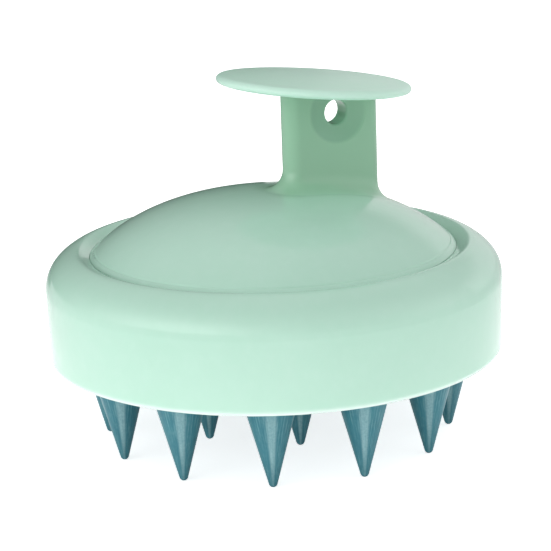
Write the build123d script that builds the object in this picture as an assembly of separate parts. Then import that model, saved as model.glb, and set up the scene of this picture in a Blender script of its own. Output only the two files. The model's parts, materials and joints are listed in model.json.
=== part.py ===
from build123d import *
import math
import os

# Round hand brush: a skirted outer ring, a domed handle shell with a flat stem, a tilted finger
# disc on the stem, and a base plate with press pegs that holds the pad of cone bristles.
# Frame, mm: +Z up, origin on the body axis in the plane of the longest bristle tips.
# +X points from the body axis towards the off-centre stem; XZ is the handle's mirror plane.
# Heights (Z in the name) are above the skirt's lower edge, which is at SKIRT_Z in the frame.

SKIRT_Z = 17.2

# bristle pad
R_RING_IN = 42.6         # inside of the skirt below the stop ledge
R_PAD = R_RING_IN - 0.2
Z_PAD, T_PAD = 1.2, 2.0
PAD_GAP = 0.05           # plate's clearance from the pad, below and above
R_PAD_LIP = 38.9         # inner radius of the lip over the plate's rim
PAD_LIP_T = 0.9
PAD_CHAMFER = 0.5
N_OUTER, R_OUTER, PHASE_OUTER = 12, 34.1, 0.0
N_INNER, R_INNER, PHASE_INNER = 6, 18.5, 15.0
INNER_SHORT = 2.5        # inner bristles are this much shorter
BRISTLE_TIP_R = 0.85
BRISTLE_HALF = 14.5      # degrees, half angle of each cone
BRISTLE_SINK = 0.6       # overlap of each cone with the pad
ROOT_R = 1.2             # fillet at each bristle's root

# base plate and its press pegs
R_PLATE = 40.3
R_PAD_GROOVE = R_PLATE + 0.1
Z_PLATE, T_PLATE = Z_PAD + T_PAD + PAD_GAP, 2.1
Z_PLATE_TOP = Z_PLATE + T_PLATE
Z_PAD_LIP = Z_PLATE_TOP + PAD_GAP
N_PEGS, PEG_PHASE = 4, 45
PEG_PCD_R = 26.0
PEG_R = 2.0
PEG_BORE_R = PEG_R + 0.03
PEG_CHAMFER = 0.5
Z_PEG_TOP = 15.5
BORE_EXTRA = 1.0         # bore runs this far past the peg
BOSS_R = 3.9
BOSS_H = 22.0            # before it is trimmed to the dome
Z_BOSS_LOW = 9.2
RIB_T, RIB_H = 1.3, 3.2

# dome
R_DOME = 36.1
DOME_TOP = 31.58
DOME_K2 = 0.004824       # fall of the dome's skin with r**2
DOME_K4 = 2.776e-6       # and with r**4
DOME_WALL = 2.3
DOME_RIM_WALL = 2.1
Z_SEAT = 17.6            # top of the ring's seat ledge
Z_DOME_LOW = Z_SEAT + 0.05
RIM_BAND_R = 34.95       # a fine step in the dome's skin here sets off its rim band
RIM_STEP, RIM_STEP_W = 0.16, 0.17
Z_RIM_BAND_LOW = 20.42
BAND_BULGE_R, BAND_BULGE_Z = 0.065, 0.076   # band's middle, off its chord
DOME_OUTER_R = (0, 4, 8, 12, 16, 20, 24, 28, 31, 33, RIM_BAND_R)
DOME_INNER_R = (0, 5, 10, 15, 20, 25, 29, 32)

# outer ring (skirt and shoulder)
R_BODY = 45.0            # outer radius at the top of the skirt
R_SKIRT_LOW = 44.84      # outer radius at the bottom of the skirt (moulding draft)
EDGE_R = 1.0             # rounded outer lower edge
INNER_EDGE_R = 0.45      # rounded inner lower edge
Z_WALL_TOP = 14.16       # where the straight skirt wall turns into the shoulder
SHOULDER_A = 12.84       # shoulder's radial half axis
SHOULDER_B = 8.42        # shoulder's vertical half axis
SHOULDER_N = 2.24        # shoulder's superellipse exponent
CREST_R, CREST_Z = 38.75, 21.48
# outline over the crest: radius and height from the crest
CREST_OFFSETS = [(0.75, -0.12), (0, 0), (-0.75, -0.17), (-1.5, -0.55)]
R_SEAT = R_DOME + 0.06   # bore the dome's edge drops into
Z_SEAT_RIM = CREST_Z - 1.12
R_SEAT_LIP = 34.4        # inner radius of the seat ledge
Z_SEAT_LOW = 16.0
# underside between the seat ledge and the inner wall: radius, height
RING_HOLLOW = [(37.9, Z_SEAT_LOW), (38.6, 18.4), (40.2, 16.6)]
R_RING_UP, Z_RING_UP = 41.4, 13.8           # inside wall above the stop ledge, and its top
Z_LEDGE = Z_PAD_LIP + PAD_LIP_T + 0.1       # stop ledge that the pad's rim meets

# stem
STEM_X = 13.5            # stem's centre from the body axis
STEM_W, STEM_T = 20.5, 5.5
STEM_CORNER = 2.45
Z_STEM_START = 24.0      # inside the dome
STEM_FILLET = 3.9        # blend between stem and dome
HOLE_R = 2.45            # hanging hole
HOLE_X, HOLE_Z = 14.0, 46.05
HOLE_EDGE = 0.45
DISH_R = 6.4             # shallow dish around the hanging hole, on both faces
DISH_DEPTH = 0.8
TENON_W, TENON_T, TENON_H = 12.0, 2.6, 1.25
TENON_ROOT = 1.0         # tenon's length below the disc's lowest point
TENON_CLEARANCE = 0.04

# finger disc; its profile heights are from the disc's own middle plane
DISC_X, DISC_Z = 10.3, 52.2
DISC_TILT = 5.7          # degrees, down towards +X
DISC_R = 19.2
DISC_RIM = 1.2           # lower half thickness of the rounded rim
DISC_TOP = 0.78          # top of the rounded rim
DISC_CROWN = 1.75        # centre of the crowned top face
DISC_ROLL_R = 16.5       # radius where the top face rolls over into the rim
DISC_EDGE = -0.15        # height of the rim's outermost line
DISC_BELLY = 0.75        # swell of the underside
DISC_BELLY_R = DISC_R - DISC_RIM - 0.9
DISC_BELLY_SLOPE = (-1, 0, -0.09)           # direction where rim and underside meet
DISC_BOTTOM = -DISC_RIM - DISC_BELLY
DISC_CROWN_R = (0.0, 4.5, 9.0, 13.5, DISC_ROLL_R)
# underside: radius, share of the full swell
DISC_UNDERSIDE = [(DISC_BELLY_R, 0), (12.0, 0.60), (6.0, 0.92), (0.0, 1)]
SEAT_GAP = 0.03          # between the stem's top and the disc
TRIM_Z = -0.9            # the stem is cut away above this plane of the disc

DISC_LOC = Location((DISC_X, 0, SKIRT_Z + DISC_Z), (0, DISC_TILT, 0))


# ---------------------------------------------------------------- helpers
def section(points, base=SKIRT_Z):
    """(radius, height) pairs as points in the XZ plane."""
    return [(r, 0, base + z) for r, z in points]


def polyline(points):
    ends = section(points)
    return [Line(a, b) for a, b in zip(ends[:-1], ends[1:])]


def spin(edges):
    return revolve(make_face(Wire(edges)), axis=Axis.Z, revolution_arc=360)


def round_edge(centre_r, centre_z, radius, start):
    """Quarter circle, anticlockwise from the start angle in degrees."""
    angles = [math.radians(start + turn) for turn in (0, 45, 90)]
    return ThreePointArc(*section(
        [(centre_r + radius * math.cos(a), centre_z + radius * math.sin(a)) for a in angles]))


def superellipse(centre, half_axes, power, degrees):
    angle = math.radians(degrees)
    return (centre[0] + half_axes[0] * math.cos(angle) ** power,
            centre[1] + half_axes[1] * math.sin(angle) ** power)


def around(count, radius, phase):
    """(x, y) of evenly spaced places on a circle about the body axis."""
    angles = [math.radians(phase + 360 / count * i) for i in range(count)]
    return [(radius * math.cos(a), radius * math.sin(a)) for a in angles]


# ---------------------------------------------------------------- outer ring
def make_outer_ring():
    shoulder = [(R_BODY, Z_WALL_TOP)]
    shoulder += [superellipse((R_BODY - SHOULDER_A, Z_WALL_TOP), (SHOULDER_A, SHOULDER_B),
                              2.0 / SHOULDER_N, degrees)
                 for degrees in (9, 18, 27, 36, 45, 53)]
    shoulder += [(CREST_R + dr, CREST_Z + dz) for dr, dz in CREST_OFFSETS]
    shoulder += [(R_SEAT, Z_SEAT_RIM)]
    top = Spline(*section(shoulder), tangents=[(0.0, 0.0, 1.0), (-0.86, 0.0, -0.5)])

    outer_edge = round_edge(R_SKIRT_LOW - EDGE_R, EDGE_R, EDGE_R, -90)
    wall = polyline([(R_SKIRT_LOW, EDGE_R), (R_BODY, Z_WALL_TOP)])
    inside = polyline([(R_SEAT, Z_SEAT_RIM), (R_SEAT, Z_SEAT), (R_SEAT_LIP, Z_SEAT),
                       (R_SEAT_LIP, Z_SEAT_LOW), *RING_HOLLOW, (R_RING_UP, Z_RING_UP),
                       (R_RING_UP, Z_LEDGE), (R_RING_IN, Z_LEDGE), (R_RING_IN, INNER_EDGE_R)])
    inner_edge = round_edge(R_RING_IN + INNER_EDGE_R, INNER_EDGE_R, INNER_EDGE_R, 180)
    floor = polyline([(R_RING_IN + INNER_EDGE_R, 0), (R_SKIRT_LOW - EDGE_R, 0)])
    return spin([outer_edge, *wall, top, *inside, inner_edge, *floor])


# ---------------------------------------------------------------- finger disc
def disc_solid():
    """The whole disc, placed and tilted."""
    fall = (DISC_CROWN - DISC_TOP) / DISC_ROLL_R ** 2
    roll_slope = (1, 0, -2 * fall * DISC_ROLL_R)
    crown = Spline(*section([(r, DISC_CROWN - fall * r * r) for r in DISC_CROWN_R], 0),
                   tangents=[(1, 0, 0), roll_slope])
    over = [superellipse((DISC_ROLL_R, DISC_EDGE),
                         (DISC_R - DISC_ROLL_R, DISC_TOP - DISC_EDGE), 0.87, degrees)
            for degrees in (62, 32)]
    under = [superellipse((DISC_BELLY_R, DISC_EDGE),
                          (DISC_R - DISC_BELLY_R, -DISC_RIM - DISC_EDGE), 0.78, degrees)
             for degrees in (30, 60)]
    rim = Spline(*section([(DISC_ROLL_R, DISC_TOP), *over, (DISC_R, DISC_EDGE), *under,
                           (DISC_BELLY_R, -DISC_RIM)], 0),
                 tangents=[roll_slope, DISC_BELLY_SLOPE])
    belly = Spline(*section([(r, -DISC_RIM - DISC_BELLY * share) for r, share in DISC_UNDERSIDE], 0),
                   tangents=[DISC_BELLY_SLOPE, (-1, 0, 0)])
    axis = Line((0, 0, DISC_BOTTOM), (0, 0, DISC_CROWN))
    return DISC_LOC * spin([crown, rim, belly, axis])


def tenon(extra):
    """Block from stem into disc, square to the disc and grown by extra."""
    # where the stem's centre line meets the disc's plane, in the disc's own frame
    stem_x = (STEM_X - DISC_X) / math.cos(math.radians(DISC_TILT))
    height = TENON_H + extra + TENON_ROOT
    block = Box(TENON_W + 2 * extra, TENON_T + 2 * extra, height)
    return DISC_LOC * (Pos(stem_x, 0, DISC_BOTTOM - TENON_ROOT + height / 2) * block)


def make_finger_disc():
    return disc_solid() - tenon(TENON_CLEARANCE)


# ---------------------------------------------------------------- handle shell: dome and stem
def dome_z(r):
    return DOME_TOP - DOME_K2 * r**2 - DOME_K4 * r**4


def dome_slope(r):
    return -2 * DOME_K2 * r - 4 * DOME_K4 * r**3


def make_domes():
    """The hollow dome, and the same dome filled."""
    skin = Spline(*section([(r, dome_z(r)) for r in DOME_OUTER_R]),
                  tangents=[(1, 0, 0), (1, 0, dome_slope(RIM_BAND_R))])
    foot_r = RIM_BAND_R + RIM_STEP_W
    foot = (foot_r, dome_z(foot_r) - RIM_STEP)
    step = polyline([(RIM_BAND_R, dome_z(RIM_BAND_R)), foot])
    band_mid = ((foot_r + R_DOME) / 2 + BAND_BULGE_R,
                (foot[1] + Z_RIM_BAND_LOW) / 2 + BAND_BULGE_Z)
    band = ThreePointArc(*section([foot, band_mid, (R_DOME, Z_RIM_BAND_LOW)]))
    side = polyline([(R_DOME, Z_RIM_BAND_LOW), (R_DOME, Z_DOME_LOW)])
    outside = [skin, *step, band, *side]

    # inner skin: the outer one offset square to itself, then a last point near the rim wall
    inner_points = []
    for r in DOME_INNER_R:
        slope = dome_slope(r)
        depth = DOME_WALL / math.hypot(1, slope)
        inner_points.append((r + slope * depth, dome_z(r) - depth))
    r_in = R_DOME - DOME_RIM_WALL
    inner_points.append((r_in - 0.55, dome_z(34.6) - DOME_WALL * 0.95))
    inner = Spline(*section(inner_points), tangents=[(1, 0, 0), (1, 0, -1.2)])

    low = polyline([(R_DOME, Z_DOME_LOW), (r_in, Z_DOME_LOW)])
    up = Line((r_in, 0, SKIRT_Z + Z_DOME_LOW), inner @ 1)
    axis = Line(inner @ 0, skin @ 0)
    turn = Rotation(0, 0, 180)      # keeps the surface's seam away from the stem's foot
    hollow = turn * spin([*outside, *low, up, inner, axis])

    full_low = polyline([(R_DOME, Z_DOME_LOW), (0, Z_DOME_LOW)])
    full_axis = Line((0, 0, SKIRT_Z + Z_DOME_LOW), skin @ 0)
    full = turn * spin([*outside, *full_low, full_axis])
    return hollow, full


def is_stem_foot(edge):
    """True for edges where the stem meets the dome's outer skin."""
    box = edge.bounding_box()
    reach = STEM_W / 2 + 0.3
    near_stem = (box.min.Z > SKIRT_Z + 27.0 and box.max.Z < SKIRT_Z + 32.5
                 and box.min.X > STEM_X - reach and box.max.X < STEM_X + reach
                 and abs(box.max.Y) < STEM_T and abs(box.min.Y) < STEM_T)
    centre = edge.center()
    skin_z = SKIRT_Z + dome_z(math.hypot(centre.X, centre.Y))
    return near_stem and abs(centre.Z - skin_z) < 0.25


def cut_hanging_hole(body):
    """A shallow dish on each face, then the hole through both."""
    hole_z = SKIRT_Z + HOLE_Z
    ball_r = (DISH_R**2 + DISH_DEPTH**2) / (2 * DISH_DEPTH)
    for side in (1, -1):
        ball_y = side * (STEM_T / 2 - DISH_DEPTH + ball_r)
        ball = Pos(HOLE_X, ball_y, hole_z) * Rotation(90, 0, 0) * Sphere(ball_r)
        keep = Pos(HOLE_X, side * STEM_T / 2, hole_z) * Box(
            2.2 * DISH_R, 2.4 * DISH_DEPTH, 2.2 * DISH_R)
        body -= ball & keep
    body -= Pos(HOLE_X, 0, hole_z) * Rotation(90, 0, 0) * Cylinder(HOLE_R, 3 * STEM_T)
    rims = [e for e in body.edges().filter_by(GeomType.CIRCLE)
            if abs(e.radius - HOLE_R) < 0.05 and abs(e.arc_center.X - HOLE_X) < 0.05
            and abs(e.arc_center.Z - hole_z) < 0.05]
    return fillet(rims, HOLE_EDGE)


def fit_stem_to_disc(body):
    """Trim the stem to the disc's underside and leave its tenon."""
    above = DISC_LOC * (Pos(0, 0, TRIM_Z + 10) * Box(120, 60, 20))
    body -= (Pos(0, 0, -SEAT_GAP) * disc_solid()) + above
    body += tenon(0.0) & (Pos(STEM_X, 0, SKIRT_Z + DISC_Z) * Box(STEM_W, STEM_T, 12))
    return body


def add_press_bosses(body, full):
    for x, y in around(N_PEGS, PEG_PCD_R, PEG_PHASE):
        base = Pos(x, y, SKIRT_Z + Z_BOSS_LOW)
        boss = base * extrude(Circle(BOSS_R), amount=BOSS_H)
        # keep the boss within the dome and, below it, within the ring's seat lip
        boss &= full + Pos(0, 0, SKIRT_Z + (Z_BOSS_LOW + Z_DOME_LOW) / 2) * Cylinder(
            R_SEAT_LIP - 0.6, Z_DOME_LOW - Z_BOSS_LOW)
        body += boss
        body -= base * extrude(Circle(PEG_BORE_R), amount=Z_PEG_TOP - Z_BOSS_LOW + BORE_EXTRA)
    return body


def make_handle_shell():
    dome, full = make_domes()
    outline = RectangleRounded(STEM_W, STEM_T, STEM_CORNER)
    stem = extrude(Pos(STEM_X, 0, SKIRT_Z + Z_STEM_START) * outline,
                   amount=DISC_Z - Z_STEM_START)
    stem -= full - dome             # keep the stem out of the dome's hollow
    body = dome + stem
    body = fillet([e for e in body.edges() if is_stem_foot(e)], STEM_FILLET)
    body = cut_hanging_hole(body)
    body = fit_stem_to_disc(body)
    return add_press_bosses(body, full)


# ---------------------------------------------------------------- base plate
def make_base_plate():
    body = Pos(0, 0, SKIRT_Z + Z_PLATE) * extrude(Circle(R_PLATE), amount=T_PLATE)
    top = SKIRT_Z + Z_PLATE_TOP
    # ring rib through the pegs, and a spoke rib to each
    body += Pos(0, 0, top) * extrude(
        Circle(PEG_PCD_R + RIB_T / 2) - Circle(PEG_PCD_R - RIB_T / 2), amount=RIB_H)
    for i in range(N_PEGS):
        spoke = Pos(PEG_PCD_R / 2, 0, top + RIB_H / 2) * Box(PEG_PCD_R, RIB_T, RIB_H)
        body += Rotation(0, 0, PEG_PHASE + 360 / N_PEGS * i) * spoke
    for x, y in around(N_PEGS, PEG_PCD_R, PEG_PHASE):
        # flat land under each boss, then the peg
        body += Pos(x, y, top) * extrude(Circle(BOSS_R), amount=RIB_H)
        peg = Pos(x, y, top) * extrude(Circle(PEG_R), amount=Z_PEG_TOP - Z_PLATE_TOP)
        body += chamfer(peg.faces().sort_by(Axis.Z)[-1].edges(), PEG_CHAMFER)
    return body


# ---------------------------------------------------------------- bristle pad
def bristle(tip_z):
    """Ball-tipped cone on the body axis; tip_z is a height in the frame."""
    half = math.radians(BRISTLE_HALF)
    ball_z = tip_z + BRISTLE_TIP_R
    apex_z = tip_z - BRISTLE_TIP_R * (1 / math.sin(half) - 1)
    root_z = SKIRT_Z + Z_PAD + BRISTLE_SINK
    mid_angle = math.radians(45 - BRISTLE_HALF / 2)     # from straight down
    bottom = (0, 0, tip_z)
    middle = (BRISTLE_TIP_R * math.sin(mid_angle), 0, ball_z - BRISTLE_TIP_R * math.cos(mid_angle))
    tangent = (BRISTLE_TIP_R * math.cos(half), 0, ball_z - BRISTLE_TIP_R * math.sin(half))
    root = ((root_z - apex_z) * math.tan(half), 0, root_z)
    root_axis = (0, 0, root_z)
    return spin([ThreePointArc(bottom, middle, tangent), Line(tangent, root),
                 Line(root, root_axis), Line(root_axis, bottom)])


def make_bristle_pad():
    body = spin(polyline([
        (0, Z_PAD), (R_PAD - PAD_CHAMFER, Z_PAD), (R_PAD, Z_PAD + PAD_CHAMFER),
        (R_PAD, Z_PAD_LIP + PAD_LIP_T), (R_PAD_LIP, Z_PAD_LIP + PAD_LIP_T),
        (R_PAD_LIP, Z_PAD_LIP), (R_PAD_GROOVE, Z_PAD_LIP), (R_PAD_GROOVE, Z_PAD + T_PAD),
        (0, Z_PAD + T_PAD), (0, Z_PAD)]))
    long, short = bristle(0.0), bristle(INNER_SHORT)
    for x, y in around(N_OUTER, R_OUTER, PHASE_OUTER):
        body += Pos(x, y, 0) * long
    for x, y in around(N_INNER, R_INNER, PHASE_INNER):
        body += Pos(x, y, 0) * short
    body += short
    roots = [e for e in body.edges().filter_by(GeomType.CIRCLE)
             if abs(e.arc_center.Z - SKIRT_Z - Z_PAD) < 0.01 and 3.0 < e.radius < 8.0]
    return fillet(roots, ROOT_R)


PARTS = {
    "outer_ring": make_outer_ring,
    "handle_shell": make_handle_shell,
    "finger_disc": make_finger_disc,
    "base_plate": make_base_plate,
    "bristle_pad": make_bristle_pad,
}
os.makedirs("parts", exist_ok=True)
for name, make in PARTS.items():
    export_step(make(), "parts/" + name + ".step")
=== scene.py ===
"""Hand brush: a glossy mint shell (skirt ring, stem handle, finger disc, base plate) over a teal
silicone bristle pad.

Metres, +Z up. The brush is centred on the Z axis and stands on its bristles, the outer tips at
z = 0. The stem of the handle is wide along X and thin along Y. The camera stands on the -Y side,
turned towards -X.
"""
import bpy, bmesh, math, json
from mathutils import Vector, Matrix
from mathutils.geometry import delaunay_2d_cdt


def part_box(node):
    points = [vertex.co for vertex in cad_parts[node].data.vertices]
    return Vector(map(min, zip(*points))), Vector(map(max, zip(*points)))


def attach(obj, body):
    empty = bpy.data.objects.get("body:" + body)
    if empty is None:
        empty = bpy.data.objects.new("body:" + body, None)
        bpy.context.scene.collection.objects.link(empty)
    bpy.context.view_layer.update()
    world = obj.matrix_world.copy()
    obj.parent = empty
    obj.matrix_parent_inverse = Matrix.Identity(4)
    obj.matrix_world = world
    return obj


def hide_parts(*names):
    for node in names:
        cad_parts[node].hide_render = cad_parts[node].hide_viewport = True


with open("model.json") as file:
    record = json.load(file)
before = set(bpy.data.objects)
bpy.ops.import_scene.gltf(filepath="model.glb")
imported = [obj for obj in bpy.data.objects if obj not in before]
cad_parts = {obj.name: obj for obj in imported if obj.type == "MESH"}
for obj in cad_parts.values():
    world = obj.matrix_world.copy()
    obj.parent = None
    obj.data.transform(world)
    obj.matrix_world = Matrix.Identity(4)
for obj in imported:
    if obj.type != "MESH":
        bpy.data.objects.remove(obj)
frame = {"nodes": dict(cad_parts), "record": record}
bpy.context.view_layer.update()
nodes = frame["nodes"]
scene = bpy.context.scene

MM = 0.001
pad_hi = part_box("bristle_pad")[1]
SKIRT_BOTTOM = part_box("outer_ring")[0].z
hang = next(m for m in frame["record"]["mounts"] if m["name"] == "hang_hole")
HOLE_X, HOLE_Z = hang["pos_m"][0], hang["pos_m"][2]


def place(name, data):
    item = bpy.data.objects.new(name, data)
    scene.collection.objects.link(item)
    return item


# ------------------------------------------------------------------ node helpers
class Graph:
    """An emptied node tree with short ways to add and join nodes; values may be sockets."""

    def __init__(self, tree):
        self.tree = tree
        tree.nodes.clear()

    def feed(self, node, inputs):
        """Link or set each input; None leaves one alone, and colours gain their alpha."""
        for key, value in inputs.items():
            socket = node.inputs[key]
            if isinstance(value, bpy.types.NodeSocket):
                self.tree.links.new(value, socket)
            elif value is not None:
                socket.default_value = (*value, 1.0) if socket.type == "RGBA" else value

    def add(self, kind, inputs=None, **settings):
        node = self.tree.nodes.new("ShaderNode" + kind)
        for key, value in settings.items():
            setattr(node, key, value)
        self.feed(node, inputs or {})
        return node

    def object_place(self):
        return self.add("TexCoord").outputs["Object"]

    def split(self, vector):
        return self.add("SeparateXYZ", {0: vector}).outputs

    def noise(self, vector, scale, detail, roughness):
        return self.add("TexNoise", {"Vector": vector, "Scale": scale, "Detail": detail,
                                     "Roughness": roughness}).outputs["Fac"]

    def remap(self, value, across, to=(0.0, 1.0), smooth=False):
        return self.add("MapRange", {"Value": value, "From Min": across[0], "From Max": across[1],
                                     "To Min": to[0], "To Max": to[1]},
                        interpolation_type="SMOOTHSTEP" if smooth else "LINEAR").outputs["Result"]

    def calc(self, operation, *terms):
        return self.add("Math", dict(enumerate(terms)), operation=operation).outputs[0]

    def hypot(self, x, y):
        return self.calc("SQRT", self.calc("ADD", self.calc("MULTIPLY", x, x),
                                           self.calc("MULTIPLY", y, y)))

    def dot(self, vector, axis):
        return self.add("VectorMath", {0: vector, 1: axis},
                        operation="DOT_PRODUCT").outputs["Value"]

    def mix(self, amount, first, second):
        return self.add("Mix", {0: amount, 6: first, 7: second}, data_type="RGBA").outputs[2]

    def bump(self, height, strength, distance, normal=None):
        return self.add("Bump", {"Height": height, "Strength": strength, "Distance": distance,
                                 "Normal": normal}).outputs["Normal"]

    def camera_ray(self):
        return self.add("LightPath").outputs["Is Camera Ray"]


def new_material(name, **inputs):
    material = bpy.data.materials.new(name)
    material.use_nodes = True
    graph = Graph(material.node_tree)
    output = graph.add("OutputMaterial")
    surface = graph.add("BsdfPrincipled")
    graph.feed(output, {"Surface": surface.outputs["BSDF"]})
    return material, graph, surface


def scaled(colour, factors):
    return tuple(channel * factor for channel, factor in zip(colour, factors))


# ------------------------------------------------------------------ mint plastic
MINT = (0.505, 0.760, 0.635)
DISC_MINT = (0.610, 0.880, 0.745)
PAINTED_STEM_SHADE_GREEN = (0.330, 0.570, 0.405)
PAINTED_EDGE_GLOW_WHITE = (0.82, 0.93, 0.88)

STEM_X = 13.5 * MM              # middle of the stem
STEM_HALF_WIDTH = 10.3 * MM     # along X
STEM_HALF_THICK = 2.8 * MM      # along Y


def painted_stem_shade(graph, position, colour):
    """Painted shade: the solid stem under the disc is coloured deeper and greener than the thin
    dome, fading out at its foot in a painted reflection on the dome.
    """
    x, y, z = graph.split(position)
    off_x = graph.calc("ABSOLUTE", graph.calc("SUBTRACT", x, STEM_X))
    off_x = graph.calc("SUBTRACT", off_x, STEM_HALF_WIDTH)
    off_y = graph.calc("SUBTRACT", graph.calc("ABSOLUTE", y), STEM_HALF_THICK)
    away = graph.hypot(graph.calc("MAXIMUM", off_x, 0.0), graph.calc("MAXIMUM", off_y, 0.0))
    near = graph.remap(away, across=(0.6 * MM, 6.0 * MM), to=(1.0, 0.0), smooth=True)
    # painted shade on the stem, and a painted reflection of it on the dome round its foot
    colour = graph.mix(near, colour, PAINTED_STEM_SHADE_GREEN)

    # painted shade in the dishes round the hang hole, where the web between them is thinner:
    # deeper still, most of all towards -X and -Z
    hole_x = graph.calc("SUBTRACT", x, HOLE_X)
    hole_z = graph.calc("SUBTRACT", z, HOLE_Z)
    radius = graph.hypot(hole_x, hole_z)
    slant = graph.calc("ADD", graph.calc("MULTIPLY", hole_x, 0.5),
                       graph.calc("MULTIPLY", hole_z, 0.86))
    recess_shade = graph.remap(slant, across=(-5.5 * MM, 5.5 * MM), to=(0.85, 0.25))
    inside = graph.remap(radius, across=(5.5 * MM, 6.5 * MM), to=(1.0, 0.0), smooth=True)
    recess_shade_green = scaled(PAINTED_STEM_SHADE_GREEN, (0.74, 0.80, 0.80))
    return graph.mix(graph.calc("MULTIPLY", inside, recess_shade), colour, recess_shade_green)


def painted_skirt_edge_glow(graph, position, colour):
    """Painted glow: the skirt's thin lower edge is coloured almost white, standing in for light
    passing through it.
    """
    height = graph.split(position)["Z"]
    edge = graph.remap(height, across=(SKIRT_BOTTOM + 0.1 * MM, SKIRT_BOTTOM + 1.4 * MM),
                       to=(0.85, 0.0), smooth=True)
    # painted glow along the lower edge
    return graph.mix(edge, colour, PAINTED_EDGE_GLOW_WHITE)


def mint_plastic(name, base=MINT, polish=(0.10, 0.15), tint=None):
    """Milky moulded plastic: faint colour drift, roughness within polish, long mould waves."""
    material, graph, surface = new_material(name)
    position = graph.object_place()
    deep = scaled(base, (0.955, 0.975, 0.965))
    pale = scaled(base, (1.09, 1.03, 1.06))
    drift = graph.noise(position, scale=34.0, detail=3.0, roughness=0.5)
    fine = graph.noise(position, scale=380.0, detail=2.0, roughness=0.6)
    colour = graph.mix(graph.remap(drift, across=(0.35, 0.65)), deep, base)
    colour = graph.mix(graph.remap(fine, across=(0.45, 0.75), to=(0.0, 0.22)), colour, pale)
    if tint is not None:
        colour = tint(graph, position, colour)
    wear = graph.noise(position, scale=150.0, detail=4.0, roughness=0.6)
    graph.feed(surface, {
        "Base Color": colour,
        "Roughness": graph.remap(wear, across=(0.3, 0.7), to=polish),
        "IOR": 1.49,
        "Subsurface Weight": 0.25,
        "Subsurface Radius": (0.8, 1.0, 0.9),
        "Subsurface Scale": 0.0025,
    })
    peel = graph.noise(position, scale=700.0, detail=2.0, roughness=0.5)
    wave = graph.noise(position, scale=55.0, detail=1.0, roughness=0.4)
    waves = graph.bump(wave, strength=0.35, distance=0.00006)
    relief = graph.bump(peel, strength=0.35, distance=0.000004, normal=waves)
    graph.feed(surface, {"Normal": relief})
    return material


# ------------------------------------------------------------------ teal silicone
TEAL = (0.044, 0.205, 0.252)
DEEP_TEAL = (0.030, 0.165, 0.212)
PALE_TEAL = (0.135, 0.320, 0.345)
PAINTED_HIGHLIGHT_TEAL = (0.285, 0.475, 0.500)

# painted highlight lines down each bristle, the strongest facing the camera: angle round it from
# +X in degrees, strength
PAINTED_HIGHLIGHT_LINES = ((243.5, 0.88), (167.0, 0.45), (76.0, 0.55), (322.0, 0.45))


def painted_highlight_lines(graph, position, around, streak):
    """Mask of the painted highlight lines down each bristle, root to tip, broken up by the fine
    turning marks.
    """
    lines = None
    for degrees, strength in PAINTED_HIGHLIGHT_LINES:
        angle = math.radians(degrees)
        facing = graph.dot(around, (math.cos(angle), math.sin(angle), 0.0))
        line = graph.remap(facing, across=(0.925, 1.0), smooth=True)
        line = graph.calc("MULTIPLY", graph.calc("POWER", line, 3.0), strength)
        lines = line if lines is None else graph.calc("MAXIMUM", lines, line)
    uneven = graph.remap(streak, across=(0.35, 0.6), to=(0.75, 1.0))
    lines = graph.calc("MULTIPLY", lines, uneven)
    marks = graph.noise(position, scale=2400.0, detail=2.0, roughness=0.6)
    broken = graph.remap(marks, across=(0.35, 0.62), to=(0.72, 1.0))
    lines = graph.calc("MULTIPLY", lines, broken)
    # weaker near the tips and near the roots
    height = graph.split(position)["Z"]
    for across, to in (((1.0 * MM, 8.0 * MM), (0.55, 1.0)), ((13.5 * MM, 17.0 * MM), (1.0, 0.65))):
        lines = graph.calc("MULTIPLY", lines, graph.remap(height, across, to, smooth=True))
    return lines


def teal_silicone():
    """Satin silicone: draw marks run down each bristle, and the highlight is stretched."""
    material, graph, surface = new_material("teal_silicone")
    position = graph.object_place()
    around = graph.add("Attribute", attribute_name="streak").outputs["Vector"]
    stretched = graph.add("Mapping", {"Vector": around, "Scale": (1.0, 1.0, 30.0)})
    streak = graph.noise(stretched.outputs["Vector"], scale=14.0, detail=3.0, roughness=0.65)
    mottle = graph.noise(position, scale=600.0, detail=3.0, roughness=0.6)
    drift = graph.noise(position, scale=120.0, detail=2.0, roughness=0.5)
    colour = graph.mix(graph.remap(drift, across=(0.3, 0.7)), DEEP_TEAL, TEAL)
    for pattern, across, to in ((streak, (0.50, 0.68), (0.0, 0.85)),
                                (mottle, (0.52, 0.75), (0.0, 0.25))):
        colour = graph.mix(graph.remap(pattern, across, to), colour, PALE_TEAL)
    # painted highlight lines down each bristle
    colour = graph.mix(painted_highlight_lines(graph, position, around, streak), colour, PAINTED_HIGHLIGHT_TEAL)
    graph.feed(surface, {
        "Base Color": colour,
        "Roughness": graph.remap(streak, across=(0.3, 0.7), to=(0.32, 0.42)),
        "IOR": 1.43,
        "Anisotropic": 0.95,
        "Tangent": graph.add("CombineXYZ", {2: 1.0}).outputs[0],
        "Subsurface Weight": 0.12,
        "Subsurface Radius": (0.3, 0.8, 1.0),
        "Subsurface Scale": 0.002,
        "Normal": graph.bump(streak, strength=0.5, distance=0.00004),
    })
    return material


mint = mint_plastic("mint_gloss_plastic")
mint_ring = mint_plastic("mint_gloss_plastic_skirt", tint=painted_skirt_edge_glow)
mint_handle = mint_plastic("mint_gloss_plastic_handle", tint=painted_stem_shade)
mint_disc = mint_plastic("mint_satin_plastic_disc", base=DISC_MINT, polish=(0.30, 0.38))
teal = teal_silicone()

for name, finish in (("outer_ring", mint_ring), ("handle_shell", mint_handle),
                     ("finger_disc", mint_disc), ("base_plate", mint)):
    piece = nodes[name]
    piece.data.materials.clear()
    piece.data.materials.append(finish)


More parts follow.
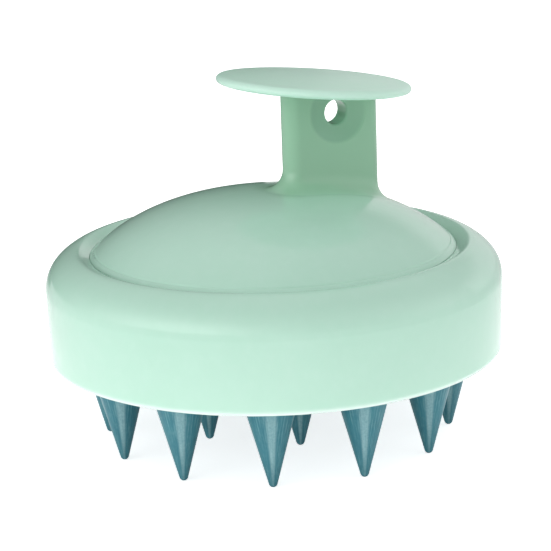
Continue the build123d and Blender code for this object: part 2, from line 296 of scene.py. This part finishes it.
# ------------------------------------------------------------------ silicone pad with its bristles
MEMBRANE_Z = SKIRT_BOTTOM + 1.2 * MM    # underside of the membrane
BRISTLE_SEGMENTS = 72
TIP_RADIUS = 0.85 * MM
HALF_ANGLE = math.radians(14.5)         # of the bristle's cone
ROOT_RADIUS = 1.2 * MM                  # fillet between cone and membrane
ROOT_STEPS, CONE_STEPS, TIP_STEPS = 8, 22, 8

# rings of bristles: count, pitch radius, angle of the first in degrees, height of the tips
BRISTLE_RINGS = (
    (12, 34.1 * MM, 0, 0.0),
    (6, 18.5 * MM, 15, 2.5 * MM),
    (1, 0.0, 0, 2.5 * MM),
)

RIM_SEGMENTS = 256
RIM_RADIUS, RIM_TOP = pad_hi.x, pad_hi.z
RIM_ROUND = 0.5 * MM                    # lower outer edge
RIM_ROUND_STEPS = 4
RIM_CHAMFER = 0.1 * MM                  # upper outer edge
LIP_RADIUS = 38.9 * MM                  # inner edge of the lip
LIP_THICK = 0.9 * MM
CAVITY_RADIUS = 40.4 * MM               # under the lip
CAVITY_FLOOR_Z = MEMBRANE_Z + 2.0 * MM


def add_ring(pad, centre, radius, z, segments, streak=None):
    """Circle of vertices; the streak is the direction round the bristle unless one is given."""
    layer = pad.verts.layers.float_vector["streak"]
    ring = []
    for i in range(segments):
        angle = 2 * math.pi * i / segments
        cos, sin = math.cos(angle), math.sin(angle)
        vertex = pad.verts.new((centre[0] + radius * cos, centre[1] + radius * sin, z))
        vertex[layer] = streak or (cos, sin, z * 0.5)
        ring.append(vertex)
    return ring


def bridge(pad, rings):
    for first, second in zip(rings[:-1], rings[1:]):
        count = len(first)
        for i in range(count):
            j = (i + 1) % count
            pad.faces.new((first[i], first[j], second[j], second[i])).smooth = True


def bristle_profile(tip_z):
    """(radius, z) from the membrane down the root fillet, the cone and the round tip."""
    apex_z = tip_z - TIP_RADIUS * (1 / math.sin(HALF_ANGLE) - 1)
    # the fillet's centre lies its radius below the membrane, and its arc is tangent to the cone
    root_z = MEMBRANE_Z - ROOT_RADIUS
    root_r = (root_z - apex_z) * math.tan(HALF_ANGLE) + ROOT_RADIUS / math.cos(HALF_ANGLE)
    profile = []
    for k in range(ROOT_STEPS + 1):
        angle = math.pi / 2 - (math.pi / 2 + HALF_ANGLE) * k / ROOT_STEPS
        profile.append((root_r - ROOT_RADIUS * math.cos(angle),
                        root_z + ROOT_RADIUS * math.sin(angle)))
    top_r, top_z = profile[-1]
    ball_z = tip_z + TIP_RADIUS
    end_r = TIP_RADIUS * math.cos(HALF_ANGLE)
    end_z = ball_z - TIP_RADIUS * math.sin(HALF_ANGLE)
    for k in range(1, CONE_STEPS + 1):
        part = k / CONE_STEPS
        profile.append((top_r + (end_r - top_r) * part, top_z + (end_z - top_z) * part))
    for k in range(1, TIP_STEPS):
        angle = -HALF_ANGLE - (math.pi / 2 - HALF_ANGLE) * k / TIP_STEPS
        profile.append((TIP_RADIUS * math.cos(angle), ball_z + TIP_RADIUS * math.sin(angle)))
    return profile


def add_bristle(pad, centre, tip_z):
    """Build one bristle and return its ring at the membrane."""
    rings = [add_ring(pad, centre, r, z, BRISTLE_SEGMENTS) for r, z in bristle_profile(tip_z)]
    bridge(pad, rings)
    tip = pad.verts.new((*centre, tip_z))
    tip[pad.verts.layers.float_vector["streak"]] = (0, 0, tip_z * 0.5)
    last = rings[-1]
    for i in range(BRISTLE_SEGMENTS):
        pad.faces.new((last[i], last[(i + 1) % BRISTLE_SEGMENTS], tip)).smooth = True
    return rings[0]


def add_rim(pad):
    """Rim turned from the underside, over the lip, into the cavity; returns its lowest ring."""
    profile = []
    for k in range(RIM_ROUND_STEPS + 1):
        angle = math.pi / 2 * k / RIM_ROUND_STEPS
        profile.append((RIM_RADIUS - RIM_ROUND + RIM_ROUND * math.sin(angle),
                        MEMBRANE_Z + RIM_ROUND - RIM_ROUND * math.cos(angle)))
    profile += [
        (RIM_RADIUS, RIM_TOP - RIM_CHAMFER),
        (RIM_RADIUS - RIM_CHAMFER, RIM_TOP),
        (LIP_RADIUS, RIM_TOP),
        (LIP_RADIUS, RIM_TOP - LIP_THICK),
        (CAVITY_RADIUS, RIM_TOP - LIP_THICK),
        (CAVITY_RADIUS, CAVITY_FLOOR_Z),
    ]
    # no direction round the rim: its streak holds hundredths of the radius in mm, and the height
    rings = [add_ring(pad, (0, 0), r, z, RIM_SEGMENTS, (r / MM * 0.01, 0, z)) for r, z in profile]
    bridge(pad, rings)
    pad.faces.new(rings[-1])
    return rings[0]


def add_membrane(pad, rim, roots):
    """Flat web inside the rim, open at each (centre, ring) of the bristle roots."""
    corners, edges = [], []
    for ring in [rim] + [ring for _, ring in roots]:
        start, count = len(corners), len(ring)
        edges += [(start + k, start + (k + 1) % count) for k in range(count)]
        corners += ring
    # output type 0 fills the whole outline; 1e-9 is the merging distance
    points, _, faces, sources = delaunay_2d_cdt([v.co.xy for v in corners], edges, [],
                                                0, 1e-9)[:4]
    rim_radius = rim[0].co.xy.length
    holes = [(centre, (ring[0].co.xy - centre).length * 0.999) for centre, ring in roots]
    for face in faces:
        middle = sum((points[i] for i in face), Vector((0, 0))) / len(face)
        if middle.length > rim_radius:
            continue
        if any((middle - centre).length < radius for centre, radius in holes):
            continue
        ring = [corners[sources[i][0]] for i in face]
        pad.faces.new(ring[::-1]).smooth = True


def build_pad():
    pad = bmesh.new()
    pad.verts.layers.float_vector.new("streak")
    roots = []
    for count, pitch_radius, first, tip_z in BRISTLE_RINGS:
        for i in range(count):
            angle = math.radians(first + 360 / count * i)
            centre = (pitch_radius * math.cos(angle), pitch_radius * math.sin(angle))
            roots.append((Vector(centre), add_bristle(pad, centre, tip_z)))
    add_membrane(pad, add_rim(pad), roots)
    bmesh.ops.recalc_face_normals(pad, faces=pad.faces)
    mesh = bpy.data.meshes.new("silicone_bristle_pad")
    pad.to_mesh(mesh)
    pad.free()
    mesh.materials.append(teal)
    return place("silicone_bristle_pad", mesh)


pad = build_pad()
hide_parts("bristle_pad")
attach(pad, "root")


# ------------------------------------------------------------------ stage
# the camera's side: everything on the stage is turned from -Y towards -X
STAGE_TURN = Matrix.Rotation(-math.radians(27.5), 3, "Z")
FLOOR_HALF = 3.0
FLOOR_GLOW = 0.80


def toward(azimuth, elevation):
    """Unit vector; azimuth 0 is the camera's side and 90 its right, in degrees."""
    around, rise = math.radians(azimuth), math.radians(elevation)
    return STAGE_TURN @ Vector((math.sin(around) * math.cos(rise),
                                -math.cos(around) * math.cos(rise), math.sin(rise)))


def stage_sheet(name, corners):
    mesh = bpy.data.meshes.new(name)
    mesh.from_pydata(corners, [], [(0, 1, 2, 3)])
    return place(name, mesh)


def stage_material(name, colour, roughness):
    material, graph, surface = new_material(name)
    graph.feed(surface, {"Base Color": colour, "Roughness": roughness})
    return material, graph, surface


def add_floor():
    """White floor that glows round the object and that the camera sees fade to white."""
    half = FLOOR_HALF
    floor = stage_sheet("floor", [(-half, -half, 0), (half, -half, 0), (half, half, 0),
                                  (-half, half, 0)])
    material, graph, surface = stage_material("floor_white", (0.90, 0.90, 0.90), roughness=0.8)
    spot = graph.add("NewGeometry").outputs["Position"]
    radius = graph.add("VectorMath", {0: spot}, operation="LENGTH").outputs["Value"]
    # the glow is dim beneath the object and dies away outside it
    rise = graph.remap(radius, across=(0.036, 0.052), to=(0.15 * FLOOR_GLOW, FLOOR_GLOW))
    fall = graph.remap(radius, across=(0.08, 0.17), to=(1.0, 0.0))
    glow = graph.calc("MULTIPLY", rise, fall)
    seen = graph.remap(radius, across=(0.06, 0.30), to=(0.74, 1.0), smooth=True)
    strength = graph.add("Mix", {0: graph.camera_ray(), 2: glow, 3: seen}, data_type="FLOAT")
    graph.feed(surface, {
        "Specular IOR Level": 0.0,
        "Emission Color": (1, 1, 1),
        "Emission Strength": strength.outputs[0],
    })
    floor.data.materials.append(material)


# broad soft lights: azimuth, elevation, radiance
LIGHTS = (
    (325, 8, 2.85), (290, 8, 1.95), (90, 8, 1.75), (50, 40, 0.85),
    (300, 60, 0.35), (190, 66, 1.05), (138, 36, 0.6),
)
LIGHT_TIGHTNESS = 7.0       # higher gives narrower lights


def soft_light(graph, ray, azimuth, elevation, radiance):
    off = graph.calc("SUBTRACT", graph.dot(ray, toward(azimuth, elevation)), 1.0)
    fade = graph.calc("EXPONENT", graph.calc("MULTIPLY", off, LIGHT_TIGHTNESS))
    return graph.calc("MULTIPLY", fade, radiance)


def soft_panel(graph, ray, azimuth, elevation, half_width, half_height, radiance,
               side_softness, end_softness):
    """Rectangular light, sizes in degrees; the ends are its top and bottom."""
    middle = toward(azimuth, elevation)
    side = Vector((0, 0, 1)).cross(middle).normalized()
    front, across, up = [graph.dot(ray, axis) for axis in (middle, side, middle.cross(side))]
    front = graph.calc("MAXIMUM", front, 0.02)
    masks = []
    for offset, half, softness, full in ((across, half_width, side_softness, radiance),
                                         (up, half_height, end_softness, 1.0)):
        offset = graph.calc("DIVIDE", graph.calc("DIVIDE", offset, front),
                            math.tan(math.radians(half)))
        masks.append(graph.remap(graph.calc("ABSOLUTE", offset),
                                 across=(1.0 - softness, 1.0 + softness),
                                 to=(full, 0.0), smooth=True))
    return graph.calc("MULTIPLY", *masks)


def studio_world():
    """Soft lights all round for the object; plain white for the camera."""
    world = bpy.data.worlds.new("studio")
    scene.world = world
    world.use_nodes = True
    graph = Graph(world.node_tree)
    output = graph.add("OutputWorld")
    ray = graph.add("VectorMath", {0: graph.add("TexCoord").outputs["Generated"]},
                    operation="NORMALIZE").outputs["Vector"]
    level = None
    for light in LIGHTS:
        lobe = soft_light(graph, ray, *light)
        level = lobe if level is None else graph.calc("ADD", level, lobe)
    panel = soft_panel(graph, ray, azimuth=146, elevation=6, half_width=30, half_height=18,
                       radiance=0.90, side_softness=0.10, end_softness=0.45)
    lit = graph.add("Background", {"Strength": graph.calc("ADD", level, panel)})
    seen = graph.add("Background", {"Color": (1, 1, 1), "Strength": 1.0})
    mixed = graph.add("MixShader", {0: graph.camera_ray(), 1: lit.outputs[0],
                                    2: seen.outputs[0]})
    graph.feed(output, {"Surface": mixed.outputs[0]})


def add_black_card(azimuth, distance, width, height, lift):
    """Dark card unseen by the camera: it gives the back-left rim its dark edge."""
    direction = toward(azimuth, 0)
    side = Vector((0, 0, 1)).cross(direction).normalized() * (width / 2)
    foot = direction * distance + Vector((0, 0, lift))
    rise = Vector((0, 0, height))
    card = stage_sheet("black_card", [foot - side, foot + side, foot + side + rise,
                                      foot - side + rise])
    material = stage_material("card_black", (0.01, 0.015, 0.012), roughness=0.9)[0]
    card.data.materials.append(material)
    card.visible_camera = False


# ------------------------------------------------------------------ camera, three-quarter view
CAMERA_DISTANCE = 403.2 * MM        # from the Z axis
CAMERA_HEIGHT = 120.5 * MM          # above the skirt's lower edge
PITCH, YAW, ROLL = 0.2570, -0.00078, -0.03558
FOCAL_LENGTH = 137.4664247          # mm, on the sensor below
SENSOR_WIDTH = 36.0                 # mm


def add_camera():
    data = bpy.data.cameras.new("camera")
    camera = place("camera", data)
    data.sensor_width = SENSOR_WIDTH
    data.lens = FOCAL_LENGTH
    data.clip_start, data.clip_end = 0.01, 50
    level = Matrix(((1, 0, 0), (0, 0, -1), (0, 1, 0)))     # rows: right, down, forward
    right, down, forward = (Matrix.Rotation(ROLL, 3, "Z") @ Matrix.Rotation(YAW, 3, "Y")
                            @ Matrix.Rotation(PITCH, 3, "X") @ level)
    axes = STAGE_TURN @ Matrix((right, -down, -forward)).transposed()
    spot = STAGE_TURN @ Vector((0, -CAMERA_DISTANCE, CAMERA_HEIGHT))
    spot.z += SKIRT_BOTTOM
    camera.matrix_world = Matrix.Translation(spot) @ axes.to_4x4()
    scene.camera = camera


add_floor()
studio_world()
add_black_card(azimuth=200, distance=0.24, width=0.17, height=0.062, lift=0.002)
scene.view_settings.view_transform = "Standard"
scene.view_settings.look = "None"
add_camera()

bpy.context.view_layer.update()
